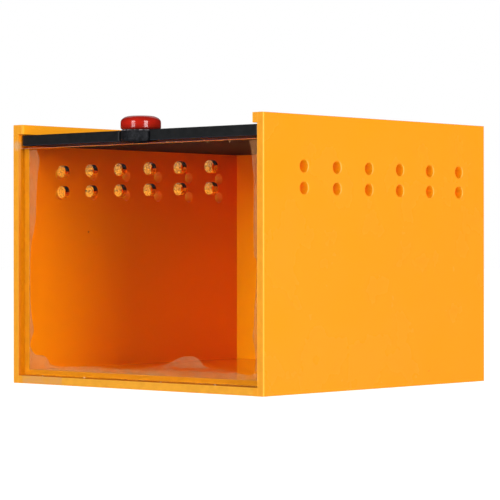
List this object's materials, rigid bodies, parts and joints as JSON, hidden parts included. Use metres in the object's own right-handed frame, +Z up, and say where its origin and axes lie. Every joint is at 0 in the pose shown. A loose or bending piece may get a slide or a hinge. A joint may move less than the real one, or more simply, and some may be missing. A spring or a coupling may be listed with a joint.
{
  "type": "reptile enclosure",
  "caption": "Small acrylic box for a reptile or insect: orange walls, clear front window, vents, black sliding lid with a red thumb-screw lock.",
  "frame": {"origin": "centre of the box's underside, on the surface it stands on", "axes": "+X to the right seen from the front, +Y to the back, +Z up; the clear window and the lock are at the -Y side"},
  "size_m": [0.1, 0.1022, 0.0777],
  "materials": {
    "orange_sheet": "translucent orange cast acrylic, glossy",
    "clear_sheet": "clear cast acrylic, polished",
    "black_sheet": "black acrylic, satin",
    "black_bush": "black turned plastic, satin",
    "pad_nylon": "black nylon",
    "steel": "plain turned steel",
    "red_knob": "glossy red moulded plastic"
  },
  "bodies": {
    "box": {"left_wall": "orange_sheet", "right_wall": "orange_sheet", "back_wall": "orange_sheet", "floor_panel": "orange_sheet", "front_window": "clear_sheet"},
    "lid": {"lid": "black_sheet", "lock_bush": "black_bush"},
    "lock_pad": {"lock_pad": "pad_nylon"},
    "knob": {"lock_stud": "steel", "lock_knob": "red_knob"}
  },
  "joints": [
    {"name": "lid_slide", "type": "slide", "parent": "box", "child": "lid", "axis": [0, -1, 0], "range_m": [0, 0.1]},
    {"name": "lock_lift", "type": "slide", "parent": "lid", "child": "lock_pad", "axis": [0, 0, 1], "range_m": [-0.00014, 0.00056]},
    {"name": "lock_turn", "type": "hinge", "parent": "lock_pad", "child": "knob", "pos_m": [0, -0.0464, 0.0724], "axis": [0, 0, 1], "range_deg": [-73, 290]}
  ],
  "couplings": [
    {"joint": "lock_turn", "follows": "lock_lift", "rad_per_m": 8976}
  ]
}
